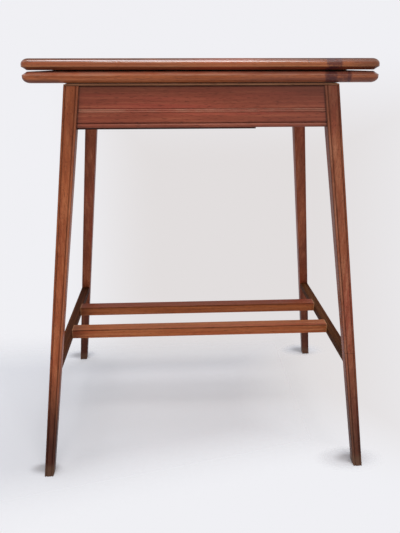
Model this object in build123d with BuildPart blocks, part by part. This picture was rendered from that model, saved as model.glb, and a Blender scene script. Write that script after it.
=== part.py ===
from build123d import *
import math
import os

# A swivel-top card table, folded. X runs along the long side of the folded top,
# Y from front to back, Z up. The origin is on the floor under the middle of the frame.

# Driving sizes of the top
top_length = 600.0
top_depth = 300.0
leaf_thick = 18.4
leaf_gap = 2.1
leaf_corner_radius = 16.0
round_slope_deep = 8.5
round_slope_high = 5.9
round_upper_radius = 14.3
round_lower_radius = 7.0
bevel_deep = 8.6
bevel_high = 5.2

# Driving sizes of the frame and of its splayed legs, measured at the legs' outer corners
frame_high = 716.5
leg_foot_x = 312.0
leg_foot_y = 236.0
leg_top_x = 232.0
leg_top_y = 145.0
leg_foot_side = 17.8
leg_top_side = 25.8
leg_bead = 3.6
leg_quirk = 1.2
leg_quirk_deep = 1.1
foot_radius = 2.0

# Apron and end rails
apron_high = 67.7
apron_thick = 16.0
apron_setback = 1.5
apron_bead = 8.2
apron_quirk = 1.2
reed_pitch = 3.1
reed_radius = 1.45
reed_deep = 1.6
reed_band = 7.4
reed_up = 28.3
rail_tenon_thick = 7.0
rail_tenon_high = 46.0
rail_tenon_long = 10.0

# Stretchers
stretcher_top = 223.0
stretcher_thick = 14.0
stretcher_wide = 18.0
stretcher_tenon_thick = 7.0
stretcher_tenon_wide = 9.0
stretcher_tenon_long = 9.0
cross_rail_wide = 26.0
cross_rail_high = 19.2
cross_rail_step = 2.5
cross_rail_y = 56.0
cross_tenon_long = 10.0
cross_tenon_wide = 16.0
cross_tenon_high = 7.0

# Capping on the frame, with a glide strip of felt on it
capping_thick = 3.0
capping_wide = 26.0
capping_setback = 0.5
felt_thick = 1.2
felt_wide = 20.0
glide_gap = 0.3

# Card well, between the left end rail and the divider
bearer_wide = 32.0
bearer_high = 25.0
bearer_housing = 5.0
divider_thick = 6.0
divider_clearance = 0.76
well_board_thick = 2.5
well_board_setback = 6.0
well_screw_head = 6.5
well_screw_shank = 3.2
well_screw_long = 15.0
well_screw_end = 18.0

# Pivot of the top
pivot_plate_side = 70.0
pivot_plate_thick = 3.0
pivot_plate_corner = 4.0
pivot_bolt_wide = 10.0
pivot_bolt_play = 0.05
pivot_bolt_spare = 3.0
pivot_washer_wide = 18.0
pivot_washer_thick = 2.0
pivot_nut_across = 16.0
pivot_nut_high = 8.0
thrust_washer_wide = 30.0
thrust_gap = 0.1
plate_screw_head = 8.0
plate_screw_shank = 4.0
plate_screw_long = 11.0
plate_screw_inset = 9.0

# Stop peg under the top, and the block that it rests against
peg_wide = 12.0
peg_down = 17.0
peg_let_in = 8.0
stop_gap = 0.3
stop_block_long = 34.0
stop_block_high = 20.0
peg_y = -15.0

# Baize panels
baize_border = 45.0
baize_back_border = 7.5
baize_recess = 0.5
baize_proud = 0.9
baize_corner_radius = 3.0

# Card-table hinges, let into the inner faces of the leaves near their ends
hinge_inset = 24.0
hinge_pin_deep = 4.0
hinge_leaf_joint = 0.5
hinge_plate_wide = 16.0
hinge_plate_long = 38.0
hinge_plate_thick = 2.2
hinge_knuckle_radius = 2.5
hinge_pin_radius = 1.0
hinge_pin_play = 0.05
hinge_link_wide = 5.0
hinge_side_play = 0.1
hinge_pocket_play = 0.3
hinge_pin_inset = 1.0
hinge_screw_head = 6.0
hinge_screw_shank = 2.8
hinge_screw_long = 11.0
hinge_screw_first = 14.0
hinge_screw_second = 30.0
inner_corner_radius = 2.6

# Shape of every countersunk screw, as shares of its head and shank
screw_countersink_share = 0.45
screw_slot_wide_share = 0.14
screw_slot_deep_share = 0.16
screw_tip_share = 0.15

# One overrun serves all cuts
overrun = 40.0

# Heights worked out from the driving sizes
capping_top = frame_high + capping_thick
felt_top = capping_top + felt_thick
lower_leaf_low = felt_top + glide_gap
lower_leaf_high = lower_leaf_low + leaf_thick
fold_plane = lower_leaf_high + leaf_gap / 2
apron_low = frame_high - apron_high
bearer_low = frame_high - bearer_high
well_board_low = apron_low - well_board_thick
stretcher_low = stretcher_top - stretcher_thick
cross_rail_low = stretcher_low + cross_rail_step

# The pivot stands an eighth of the opened square in from the middle, so that a quarter turn
# brings the fold over the middle of the frame
pivot_x = top_length / 8
pivot_y = top_length / 8
bearer_right = pivot_x + bearer_wide / 2

# Splay of the legs
splay_front = math.atan2(leg_foot_y - leg_top_y, frame_high)
splay_side = math.atan2(leg_foot_x - leg_top_x, frame_high)


def leg_out_x(height):
    """Distance of the legs' outer corner from the middle, along X."""
    return leg_foot_x + (leg_top_x - leg_foot_x) * height / frame_high


def leg_out_y(height):
    """Distance of the legs' outer corner from the middle, along Y."""
    return leg_foot_y + (leg_top_y - leg_foot_y) * height / frame_high


def leg_side(height):
    """Side of the legs' square section."""
    return leg_foot_side + (leg_top_side - leg_foot_side) * height / frame_high


def rail_in_x(height):
    """Half of the clear width between the end rails."""
    return leg_out_x(height) - (apron_setback + apron_thick) / math.cos(splay_side)


def rail_in_y(height):
    """Half of the clear depth between the aprons."""
    return leg_out_y(height) - (apron_setback + apron_thick) / math.cos(splay_front)


def prism(plane, half_low, half_high, low, high):
    """A long prism whose section is an upright trapezoid in the given plane."""
    with BuildPart() as shape:
        with BuildSketch(plane):
            Polygon(
                (-half_low, low), (half_low, low), (half_high, high), (-half_high, high),
                align=None,
            )
        extrude(amount=leg_foot_x + overrun, both=True)
    return shape.part


def between_legs_x(reach, low, high):
    """The room between the inner faces of left and right legs, longer by reach at each end."""
    return prism(
        Plane.XZ,
        leg_out_x(low) - leg_side(low) + reach,
        leg_out_x(high) - leg_side(high) + reach,
        low, high,
    )


def between_legs_y(reach, low, high):
    """The room between the inner faces of front and back legs, longer by reach at each end."""
    return prism(
        Plane.YZ,
        leg_out_y(low) - leg_side(low) + reach,
        leg_out_y(high) - leg_side(high) + reach,
        low, high,
    )


def between_aprons(reach, low, high):
    """The room between the inner faces of the aprons, longer by reach at each end."""
    return prism(Plane.YZ, rail_in_y(low) + reach, rail_in_y(high) + reach, low, high)


def save(solid, name):
    """Names a finished piece and writes it."""
    solid.label = name
    export_step(solid, f"parts/{name}.step")


def countersunk_screws(places, turn, head, shank, long):
    """Slotted screws whose heads lie flush at the given places; turn 180 points them down."""
    cone_high = (head - shank) * screw_countersink_share
    upright = (Align.CENTER, Align.CENTER, Align.MIN)
    spots = [Location(place, (turn, 0, 0)) for place in places]
    with BuildPart() as screws:
        with Locations(*spots):
            Cone(head / 2, shank / 2, cone_high, align=upright)
            Cylinder(shank / 2, long - shank, align=upright)
            Box(
                head, head * screw_slot_wide_share, head * screw_slot_deep_share,
                align=upright, mode=Mode.SUBTRACT,
            )
        tips = [Location(place, (turn, 0, 0)) * Location((0, 0, long - shank)) for place in places]
        with Locations(*tips):
            Cone(shank / 2, shank * screw_tip_share, shank, align=upright)
    return screws.part


def rail_blank(plane, reach_low, reach_high, trim, tenon_trim):
    """An apron or end rail: reeds and a bead on its face, its ends cut to the legs, tenons added."""
    band_low = reed_up - reed_band / 2
    with BuildPart() as rail:
        with BuildSketch(plane):
            with Locations((-overrun / 2, 0)):
                Rectangle(apron_high + overrun, apron_thick, align=(Align.MIN, Align.MIN))
            with Locations((band_low, 0)):
                Rectangle(reed_band, reed_deep, align=(Align.MIN, Align.MIN), mode=Mode.SUBTRACT)
            with Locations((reed_up - reed_pitch / 2, reed_deep), (reed_up + reed_pitch / 2, reed_deep)):
                Circle(reed_radius)
            with Locations((-overrun / 2, 0)):
                Rectangle(
                    overrun / 2 + apron_bead + apron_quirk, apron_bead / 2,
                    align=(Align.MIN, Align.MIN), mode=Mode.SUBTRACT,
                )
            with Locations((apron_bead / 2, apron_bead / 2)):
                Circle(apron_bead / 2)
        extrude(amount=reach_low, both=True)
        add(trim, mode=Mode.INTERSECT)
        with BuildPart(mode=Mode.PRIVATE) as tenon:
            with BuildSketch(plane):
                with Locations((apron_high / 2, apron_thick / 2)):
                    Rectangle(rail_tenon_high, rail_tenon_thick)
            extrude(amount=reach_high, both=True)
            add(tenon_trim, mode=Mode.INTERSECT)
        add(tenon.part)
    return rail.part


os.makedirs("parts", exist_ok=True)

# Pivot bearer, housed in both aprons
with BuildPart() as pivot_bearer:
    with Locations((pivot_x, 0, bearer_low)):
        Box(
            bearer_wide, leg_foot_y * 2, bearer_high,
            align=(Align.CENTER, Align.CENTER, Align.MIN),
        )
    add(between_aprons(bearer_housing, bearer_low, frame_high), mode=Mode.INTERSECT)
    with Locations((pivot_x, pivot_y, frame_high)):
        Hole(pivot_bolt_wide / 2 + pivot_bolt_play)
save(pivot_bearer.part, "pivot_bearer")

# Screws of the well's bottom board: three into each apron and two into the left end rail
well_left = -(leg_out_x(apron_low) - leg_side(apron_low))
well_board_y = leg_out_y(apron_low) - apron_setback - well_board_setback
well_board_x = leg_out_x(apron_low) - apron_setback - well_board_setback
well_screw_y = (rail_in_y(apron_low) + well_board_y) / 2
well_screw_x = (rail_in_x(apron_low) + well_board_x) / 2
well_screw_first = well_left + well_screw_end
well_screw_last = bearer_right - well_screw_end
well_screw_columns = [
    well_screw_first, (well_screw_first + well_screw_last) / 2, well_screw_last,
]
well_screw_places = [
    (x, y, well_board_low) for x in well_screw_columns for y in (-well_screw_y, well_screw_y)
]
well_screw_places += [
    (-well_screw_x, y, well_board_low) for y in (-well_screw_y / 3, well_screw_y / 3)
]
well_screws = countersunk_screws(
    well_screw_places, 0, well_screw_head, well_screw_shank, well_screw_long
)
save(well_screws, "well_board_screws")

# Aprons, front and back
front_face_plane = Plane(
    origin=(0, -(leg_out_y(apron_low) - apron_setback / math.cos(splay_front)), apron_low),
    x_dir=(0, math.sin(splay_front), math.cos(splay_front)),
    z_dir=(-1, 0, 0),
)
front_blank = rail_blank(
    front_face_plane, leg_foot_x, leg_foot_x,
    between_legs_x(0, apron_low, frame_high),
    between_legs_x(rail_tenon_long, apron_low, frame_high),
)
with BuildPart() as apron_front:
    add(front_blank)
    add(pivot_bearer.part, mode=Mode.SUBTRACT)
    add(well_screws, mode=Mode.SUBTRACT)
save(apron_front.part, "apron_front")

with BuildPart() as apron_back:
    mirror(front_blank, about=Plane.XZ)
    add(pivot_bearer.part, mode=Mode.SUBTRACT)
    add(well_screws, mode=Mode.SUBTRACT)
save(apron_back.part, "apron_back")

# End rails, left and right
left_face_plane = Plane(
    origin=(-(leg_out_x(apron_low) - apron_setback / math.cos(splay_side)), 0, apron_low),
    x_dir=(math.sin(splay_side), 0, math.cos(splay_side)),
    z_dir=(0, 1, 0),
)
left_blank = rail_blank(
    left_face_plane, leg_foot_y, leg_foot_y,
    between_legs_y(0, apron_low, frame_high),
    between_legs_y(rail_tenon_long, apron_low, frame_high),
)
with BuildPart() as end_rail_left:
    add(left_blank)
    add(well_screws, mode=Mode.SUBTRACT)
save(end_rail_left.part, "end_rail_left")

with BuildPart() as end_rail_right:
    mirror(left_blank, about=Plane.YZ)
save(end_rail_right.part, "end_rail_right")

# Cross rails between the side stretchers, with a tenon at each end
stretcher_middle = stretcher_low + stretcher_thick / 2
stretcher_centre_x = leg_out_x(stretcher_middle) - leg_side(stretcher_middle) / 2
stretcher_in_x = stretcher_centre_x - stretcher_wide / 2
cross_rails = {}
for end, side_y in (("front", -1), ("back", 1)):
    with BuildPart() as cross_rail:
        with Locations((0, side_y * cross_rail_y, cross_rail_low)):
            Box(
                stretcher_in_x * 2, cross_rail_wide, cross_rail_high,
                align=(Align.CENTER, Align.CENTER, Align.MIN),
            )
        with Locations((0, side_y * cross_rail_y, stretcher_middle)):
            Box((stretcher_in_x + cross_tenon_long) * 2, cross_tenon_wide, cross_tenon_high)
    cross_rails[end] = cross_rail.part
    save(cross_rail.part, f"cross_rail_{end}")

# Side stretchers from front leg to back leg, as wide as the legs there
side_stretchers = {}
for end, side_x in (("left", -1), ("right", 1)):
    with BuildPart() as side_stretcher:
        with Locations((side_x * stretcher_centre_x, 0, stretcher_middle)):
            Box(stretcher_wide, leg_foot_y * 2, stretcher_thick)
        add(between_legs_y(0, stretcher_low, stretcher_top), mode=Mode.INTERSECT)
        with BuildPart(mode=Mode.PRIVATE) as stretcher_tenon:
            with Locations((side_x * stretcher_centre_x, 0, stretcher_middle)):
                Box(stretcher_tenon_wide, leg_foot_y * 2, stretcher_tenon_thick)
            add(
                between_legs_y(stretcher_tenon_long, stretcher_low, stretcher_top),
                mode=Mode.INTERSECT,
            )
        add(stretcher_tenon.part)
        add(cross_rails["front"], mode=Mode.SUBTRACT)
        add(cross_rails["back"], mode=Mode.SUBTRACT)
    side_stretchers[end] = side_stretcher.part
    save(side_stretcher.part, f"side_stretcher_{end}")


def leg_outline(side_x, side_y, height):
    """Section of a leg: square, with a quirk beside both edges of its two outer faces."""
    side = leg_side(height)
    near = leg_bead
    far = side - leg_bead
    outline = [
        (0, 0),
        (near, 0), (near + leg_quirk / 2, leg_quirk_deep), (near + leg_quirk, 0),
        (far - leg_quirk, 0), (far - leg_quirk / 2, leg_quirk_deep), (far, 0),
        (side, 0), (side, side), (0, side),
        (0, far), (leg_quirk_deep, far - leg_quirk / 2), (0, far - leg_quirk),
        (0, near + leg_quirk), (leg_quirk_deep, near + leg_quirk / 2), (0, near),
    ]
    out_x = leg_out_x(height)
    out_y = leg_out_y(height)
    return [(side_x * (out_x - u), side_y * (out_y - v)) for u, v in outline]


# Legs, mortised for the aprons, the end rails and the side stretchers
legs = {}
for end_y, side_y, apron in (("front", -1, apron_front.part), ("back", 1, apron_back.part)):
    for end_x, side_x, rail in (("left", -1, end_rail_left.part), ("right", 1, end_rail_right.part)):
        with BuildPart() as leg:
            with BuildSketch(Plane.XY):
                Polygon(*leg_outline(side_x, side_y, 0), align=None)
            with BuildSketch(Plane.XY.offset(frame_high)):
                Polygon(*leg_outline(side_x, side_y, frame_high), align=None)
            loft(ruled=True)
            foot_edges = leg.faces().sort_by(Axis.Z)[0].edges()
            inner_x_edge = foot_edges.sort_by(Axis.X)[0 if side_x > 0 else -1]
            inner_y_edge = foot_edges.sort_by(Axis.Y)[0 if side_y > 0 else -1]
            fillet([inner_x_edge, inner_y_edge], foot_radius)
            add(apron, mode=Mode.SUBTRACT)
            add(rail, mode=Mode.SUBTRACT)
            add(side_stretchers[end_x], mode=Mode.SUBTRACT)
        legs[end_y + end_x] = leg.part
        save(leg.part, f"leg_{end_y}_{end_x}")

# Bottom board of the card well, screwed under the aprons and notched round the left legs
with BuildPart() as well_bottom_board:
    with Locations((-well_board_x, 0, well_board_low)):
        Box(
            well_board_x + bearer_right, well_board_y * 2, well_board_thick,
            align=(Align.MIN, Align.CENTER, Align.MIN),
        )
    add(legs["frontleft"], mode=Mode.SUBTRACT)
    add(legs["backleft"], mode=Mode.SUBTRACT)
    add(well_screws, mode=Mode.SUBTRACT)
save(well_bottom_board.part, "well_bottom_board")

# Divider under the left side of the bearer, clear of the nut, which closes the card well
nut_corner = pivot_nut_across / 2 / math.cos(math.pi / 6)
divider_right = pivot_x - max(nut_corner, pivot_washer_wide / 2) - divider_clearance
with BuildPart() as well_divider:
    with Locations((divider_right, 0, apron_low)):
        Box(
            divider_thick, leg_foot_y * 2, bearer_low - apron_low,
            align=(Align.MAX, Align.CENTER, Align.MIN),
        )
    add(between_aprons(0, apron_low, bearer_low), mode=Mode.INTERSECT)
save(well_divider.part, "well_divider")

# Capping strips, mitred at the corners, and the felt strips on them
ring_x = leg_top_x - capping_setback
ring_y = leg_top_y - capping_setback
felt_in = (capping_wide - felt_wide) / 2
for name, low, thick, out_x, out_y, wide in (
    ("capping", frame_high, capping_thick, ring_x, ring_y, capping_wide),
    ("glide_felt", capping_top, felt_thick, ring_x - felt_in, ring_y - felt_in, felt_wide),
):
    for end, side in (("front", -1), ("back", 1)):
        with BuildPart() as strip:
            with BuildSketch(Plane.XY.offset(low)):
                Polygon(
                    (-out_x, side * out_y), (out_x, side * out_y),
                    (out_x - wide, side * (out_y - wide)), (wide - out_x, side * (out_y - wide)),
                    align=None,
                )
            extrude(amount=thick)
        save(strip.part, f"{name}_{end}")
    for end, side in (("left", -1), ("right", 1)):
        with BuildPart() as strip:
            with BuildSketch(Plane.XY.offset(low)):
                Polygon(
                    (side * out_x, -out_y), (side * out_x, out_y),
                    (side * (out_x - wide), out_y - wide), (side * (out_x - wide), wide - out_y),
                    align=None,
                )
            extrude(amount=thick)
        save(strip.part, f"{name}_{end}")

# Thrust washer between the bearer and the top
with BuildPart() as thrust_washer:
    with BuildSketch(Plane.XY.offset(frame_high)):
        with Locations((pivot_x, pivot_y)):
            Circle(thrust_washer_wide / 2)
            Circle(pivot_bolt_wide / 2 + pivot_bolt_play, mode=Mode.SUBTRACT)
    extrude(amount=lower_leaf_low - frame_high - thrust_gap)
save(thrust_washer.part, "thrust_washer")

# Stop peg under the top: a quarter turn takes it from the block to the back capping
peg_x = pivot_x + ring_y - capping_wide - pivot_y - peg_wide / 2 - stop_gap
with BuildPart() as stop_peg:
    with Locations((peg_x, peg_y, lower_leaf_low - peg_down)):
        Cylinder(
            peg_wide / 2, peg_down + peg_let_in, align=(Align.CENTER, Align.CENTER, Align.MIN)
        )
save(stop_peg.part, "stop_peg")

# Stop block on the right side of the bearer
with BuildPart() as stop_block:
    with Locations((bearer_right, peg_y, frame_high - stop_block_high)):
        Box(
            peg_x - peg_wide / 2 - stop_gap - bearer_right, stop_block_long, stop_block_high,
            align=(Align.MIN, Align.CENTER, Align.MIN),
        )
save(stop_block.part, "stop_block")

# Pivot plate, let into the underside of the lower leaf
plate_reach = pivot_plate_side / 2 - plate_screw_inset
plate_screw_places = [
    (pivot_x + side_x * plate_reach, pivot_y + side_y * plate_reach, lower_leaf_low)
    for side_x in (-1, 1)
    for side_y in (-1, 1)
]
pivot_screws = countersunk_screws(
    plate_screw_places, 0, plate_screw_head, plate_screw_shank, plate_screw_long
)
save(pivot_screws, "pivot_plate_screws")

with BuildPart() as pivot_plate:
    with BuildSketch(Plane.XY.offset(lower_leaf_low)):
        with Locations((pivot_x, pivot_y)):
            RectangleRounded(pivot_plate_side, pivot_plate_side, pivot_plate_corner)
            Circle(pivot_bolt_wide / 2, mode=Mode.SUBTRACT)
    extrude(amount=pivot_plate_thick)
    add(pivot_screws, mode=Mode.SUBTRACT)
save(pivot_plate.part, "pivot_plate")

# Pivot bolt, riveted into the plate, with a washer and a nut below the bearer
nut_low = bearer_low - pivot_washer_thick - pivot_nut_high
bolt_low = nut_low - pivot_bolt_spare
with BuildPart() as pivot_bolt:
    with Locations((pivot_x, pivot_y, bolt_low)):
        Cylinder(
            pivot_bolt_wide / 2, lower_leaf_low + pivot_plate_thick - bolt_low,
            align=(Align.CENTER, Align.CENTER, Align.MIN),
        )
save(pivot_bolt.part, "pivot_bolt")

with BuildPart() as pivot_washer:
    with BuildSketch(Plane.XY.offset(bearer_low - pivot_washer_thick)):
        with Locations((pivot_x, pivot_y)):
            Circle(pivot_washer_wide / 2)
            Circle(pivot_bolt_wide / 2, mode=Mode.SUBTRACT)
    extrude(amount=pivot_washer_thick)
save(pivot_washer.part, "pivot_washer")

with BuildPart() as pivot_nut:
    with BuildSketch(Plane.XY.offset(nut_low)):
        with Locations((pivot_x, pivot_y)):
            RegularPolygon(pivot_nut_across / 2, 6, major_radius=False)
            Circle(pivot_bolt_wide / 2, mode=Mode.SUBTRACT)
    extrude(amount=pivot_nut_high)
save(pivot_nut.part, "pivot_nut")

# Hinges of the fold. Both pins stand hinge_pin_deep from the fold plane, and so far in from
# the back edge that the opened leaves meet with a joint of hinge_leaf_joint
hinge_pin_y = top_depth / 2 - hinge_pin_deep + hinge_leaf_joint / 2
lower_pin_z = fold_plane - hinge_pin_deep
hinge_x = top_length / 2 - hinge_inset
hinge_block = (Align.CENTER, Align.MAX, Align.MAX)
hinge_places = [(side_x * hinge_x, hinge_pin_y, lower_leaf_high) for side_x in (-1, 1)]
hinge_screw_places = [
    (side_x * hinge_x, hinge_pin_y - back, lower_leaf_high)
    for side_x in (-1, 1)
    for back in (hinge_screw_first, hinge_screw_second)
]
fold = Plane.XY.offset(fold_plane)

lower_screws = countersunk_screws(
    hinge_screw_places, 180, hinge_screw_head, hinge_screw_shank, hinge_screw_long
)
save(lower_screws, "hinge_screws_lower")
with BuildPart() as upper_screws:
    mirror(lower_screws, about=fold)
save(upper_screws.part, "hinge_screws_upper")

pin_length = hinge_plate_wide - hinge_pin_inset * 2
pin_places = [
    Location((side_x * hinge_x, hinge_pin_y, lower_pin_z), (0, 90, 0)) for side_x in (-1, 1)
]
with BuildPart() as lower_pins:
    with Locations(*pin_places):
        Cylinder(hinge_pin_radius, pin_length)
save(lower_pins.part, "hinge_pins_lower")
with BuildPart() as upper_pins:
    mirror(lower_pins.part, about=fold)
save(upper_pins.part, "hinge_pins_upper")

slot_wide = hinge_link_wide + hinge_side_play * 2
slot_front = hinge_pin_y - hinge_knuckle_radius - hinge_pocket_play
for end, side_x in (("left", -1), ("right", 1)):
    with BuildPart() as lower_plate:
        with Locations((side_x * hinge_x, hinge_pin_y, lower_leaf_high)):
            Box(hinge_plate_wide, hinge_plate_long, hinge_plate_thick, align=hinge_block)
        with Locations(Location((side_x * hinge_x, hinge_pin_y, lower_pin_z), (0, 90, 0))):
            Cylinder(hinge_knuckle_radius, hinge_plate_wide)
        with Locations((side_x * hinge_x, slot_front, lower_pin_z)):
            Box(
                slot_wide, overrun, overrun,
                align=(Align.CENTER, Align.MIN, Align.CENTER), mode=Mode.SUBTRACT,
            )
        add(lower_pins.part, mode=Mode.SUBTRACT)
        add(lower_screws, mode=Mode.SUBTRACT)
    save(lower_plate.part, f"hinge_plate_lower_{end}")
    with BuildPart() as upper_plate:
        mirror(lower_plate.part, about=fold)
    save(upper_plate.part, f"hinge_plate_upper_{end}")
    with BuildPart() as hinge_link:
        with BuildSketch(Plane.YZ.offset(side_x * hinge_x - hinge_link_wide / 2)):
            with Locations((hinge_pin_y, fold_plane)):
                SlotCenterToCenter(hinge_pin_deep * 2, hinge_knuckle_radius * 2, rotation=90)
            with Locations(
                (hinge_pin_y, fold_plane - hinge_pin_deep), (hinge_pin_y, fold_plane + hinge_pin_deep)
            ):
                Circle(hinge_pin_radius + hinge_pin_play, mode=Mode.SUBTRACT)
        extrude(amount=hinge_link_wide)
    save(hinge_link.part, f"hinge_link_{end}")

# Leaf before its baize and pivot are let in: moulded on the front and both ends
baize_front = -top_depth / 2 + baize_border
baize_back = top_depth / 2 - baize_back_border
baize_long = top_length - baize_border * 2
with BuildPart() as leaf_blank:
    with BuildSketch(Plane.XY.offset(lower_leaf_low)):
        Rectangle(top_length, top_depth)
    extrude(amount=leaf_thick)
    front_corners = leaf_blank.edges().filter_by(Axis.Z).group_by(Axis.Y)[0]
    fillet(front_corners, leaf_corner_radius)
    inner_face = leaf_blank.faces().sort_by(Axis.Z)[-1]
    inner_edges = inner_face.edges().sort_by(Axis.Y)
    chamfer(inner_edges[:-1], bevel_deep, bevel_high, reference=inner_face)
    outer_face = leaf_blank.faces().sort_by(Axis.Z)[0]
    outer_edges = outer_face.edges().sort_by(Axis.Y)
    chamfer(outer_edges[:-1], round_slope_deep, round_slope_high, reference=outer_face)
    outer_edges = leaf_blank.faces().sort_by(Axis.Z)[0].edges().sort_by(Axis.Y)
    fillet(outer_edges[:-1], round_upper_radius)
    slope_end = lower_leaf_low + round_slope_high
    side_edges = [edge for edge in leaf_blank.edges() if math.isclose(edge.center().Z, slope_end)]
    fillet(side_edges, round_lower_radius)
    back_edge = leaf_blank.faces().sort_by(Axis.Z)[-1].edges().sort_by(Axis.Y)[-1]
    fillet(back_edge, inner_corner_radius)
    with BuildSketch(Plane.XY.offset(lower_leaf_high)):
        with Locations((0, (baize_front + baize_back) / 2)):
            RectangleRounded(baize_long, baize_back - baize_front, baize_corner_radius)
    extrude(amount=-baize_recess, mode=Mode.SUBTRACT)
    with Locations(*hinge_places):
        Box(
            hinge_plate_wide, hinge_plate_long, hinge_plate_thick,
            align=hinge_block, mode=Mode.SUBTRACT,
        )
        with Locations((0, -hinge_knuckle_radius - hinge_pocket_play, 0)):
            Box(
                hinge_plate_wide, overrun,
                lower_leaf_high - lower_pin_z + hinge_knuckle_radius + hinge_pocket_play,
                align=(Align.CENTER, Align.MIN, Align.MAX), mode=Mode.SUBTRACT,
            )
    add(lower_screws, mode=Mode.SUBTRACT)

with BuildPart() as lower_leaf:
    add(leaf_blank.part)
    add(stop_peg.part, mode=Mode.SUBTRACT)
    add(pivot_screws, mode=Mode.SUBTRACT)
    with BuildSketch(Plane.XY.offset(lower_leaf_low)):
        with Locations((pivot_x, pivot_y)):
            RectangleRounded(pivot_plate_side, pivot_plate_side, pivot_plate_corner)
    extrude(amount=pivot_plate_thick, mode=Mode.SUBTRACT)
save(lower_leaf.part, "lower_leaf")

with BuildPart() as upper_leaf:
    mirror(leaf_blank.part, about=fold)
save(upper_leaf.part, "upper_leaf")

# Baize panels, let into the inner faces of the leaves and standing a little proud
with BuildPart() as lower_baize:
    with BuildSketch(Plane.XY.offset(lower_leaf_high - baize_recess)):
        with Locations((0, (baize_front + baize_back) / 2)):
            RectangleRounded(baize_long, baize_back - baize_front, baize_corner_radius)
    extrude(amount=baize_recess + baize_proud)
save(lower_baize.part, "baize_lower")

with BuildPart() as upper_baize:
    mirror(lower_baize.part, about=fold)
save(upper_baize.part, "baize_upper")
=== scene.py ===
import math

import bmesh
import bpy
from mathutils import Matrix, Vector, noise


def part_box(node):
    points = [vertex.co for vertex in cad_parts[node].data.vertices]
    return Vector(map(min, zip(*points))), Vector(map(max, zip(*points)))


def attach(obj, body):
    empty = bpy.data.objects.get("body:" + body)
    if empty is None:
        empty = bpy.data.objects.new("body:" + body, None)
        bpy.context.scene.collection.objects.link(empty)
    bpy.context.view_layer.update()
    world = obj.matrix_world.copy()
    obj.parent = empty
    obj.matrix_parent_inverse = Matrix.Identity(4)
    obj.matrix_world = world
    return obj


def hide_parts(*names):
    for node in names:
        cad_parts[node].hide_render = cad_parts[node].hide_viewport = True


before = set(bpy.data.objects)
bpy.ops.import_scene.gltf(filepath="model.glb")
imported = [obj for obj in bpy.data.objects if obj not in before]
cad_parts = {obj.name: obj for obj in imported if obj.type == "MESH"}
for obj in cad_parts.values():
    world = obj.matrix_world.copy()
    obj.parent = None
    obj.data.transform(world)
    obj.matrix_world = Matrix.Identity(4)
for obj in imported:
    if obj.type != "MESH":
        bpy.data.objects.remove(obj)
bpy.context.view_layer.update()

MM = 0.001

# Sizes of the table, in millimetres, as in the CAD
TOP_X = 300.0
TOP_Y = 150.0
LEAF_THICK = 18.4
CORNER_RADIUS = 16.0
BEVEL_DEEP = 8.6
BEVEL_HIGH = 5.2
ROUND_DEEP = 13.0
ROUND_HIGH = 9.6
ARRIS = 0.8
INNER_CORNER = 2.6
BAIZE_BORDER = 45.0
BAIZE_BACK_BORDER = 7.5
BAIZE_RECESS = 0.5
BAIZE_THICK = 1.4
BAIZE_CORNER = 3.0
HINGE_X = 276.0
HINGE_WIDE = 16.0
HINGE_LONG = 38.0
HINGE_THICK = 2.2
HINGE_KNUCKLE = 2.5
HINGE_PIN_Y = 146.25
HINGE_PIN_DEEP = 2.95
HINGE_PLAY = 0.3
FRAME_HIGH = 716.5
FOOT_X, FOOT_Y, FOOT_SIDE = 312.0, 236.0, 17.8
HEAD_X, HEAD_Y, HEAD_SIDE = 232.0, 145.0, 25.8
LEG_BEAD, LEG_INNER_BEAD, LEG_QUIRK, LEG_QUIRK_DEEP = 3.6, 4.7, 1.2, 1.2
APRON_HIGH, APRON_THICK, APRON_SETBACK = 67.7, 16.0, 1.5
APRON_BEAD, APRON_QUIRK = 8.2, 1.2
REED_UP, REED_PITCH, REED_RADIUS, REED_BAND = 28.3, 3.1, 1.5, 7.4
STRETCHER_TOP, STRETCHER_THICK, STRETCHER_WIDE = 223.0, 14.0, 18.0
RAIL_WIDE, RAIL_HIGH, RAIL_STEP, RAIL_Y = 26.0, 19.2, 2.5, 56.0
CAPPING_THICK, CAPPING_WIDE, CAPPING_SETBACK = 3.0, 26.0, 0.5
FELT_THICK, FELT_WIDE = 1.2, 20.0

LEAF_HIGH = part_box("lower_leaf")[1][2] / MM
UPPER_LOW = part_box("upper_leaf")[0][2] / MM
APRON_LOW = FRAME_HIGH - APRON_HIGH
SPLAY_X = math.atan2(FOOT_X - HEAD_X, FRAME_HIGH)
SPLAY_Y = math.atan2(FOOT_Y - HEAD_Y, FRAME_HIGH)


def leg_x(z):
    return FOOT_X + (HEAD_X - FOOT_X) * z / FRAME_HIGH


def leg_y(z):
    return FOOT_Y + (HEAD_Y - FOOT_Y) * z / FRAME_HIGH


def leg_side(z):
    return FOOT_SIDE + (HEAD_SIDE - FOOT_SIDE) * z / FRAME_HIGH


# The camera stands where the photograph was taken from, worked out from the table's edges
CAMERA_AT = (-52.9, -1118.8, 750.0)
CAMERA_YAW = 0.0487
CAMERA_PITCH = 0.3496
CAMERA_ROLL = 0.0015
CAMERA_REACH = 50
FOCAL_PX = 554.2
PHOTO_HIGH = 533
SENSOR = 36.0


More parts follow.
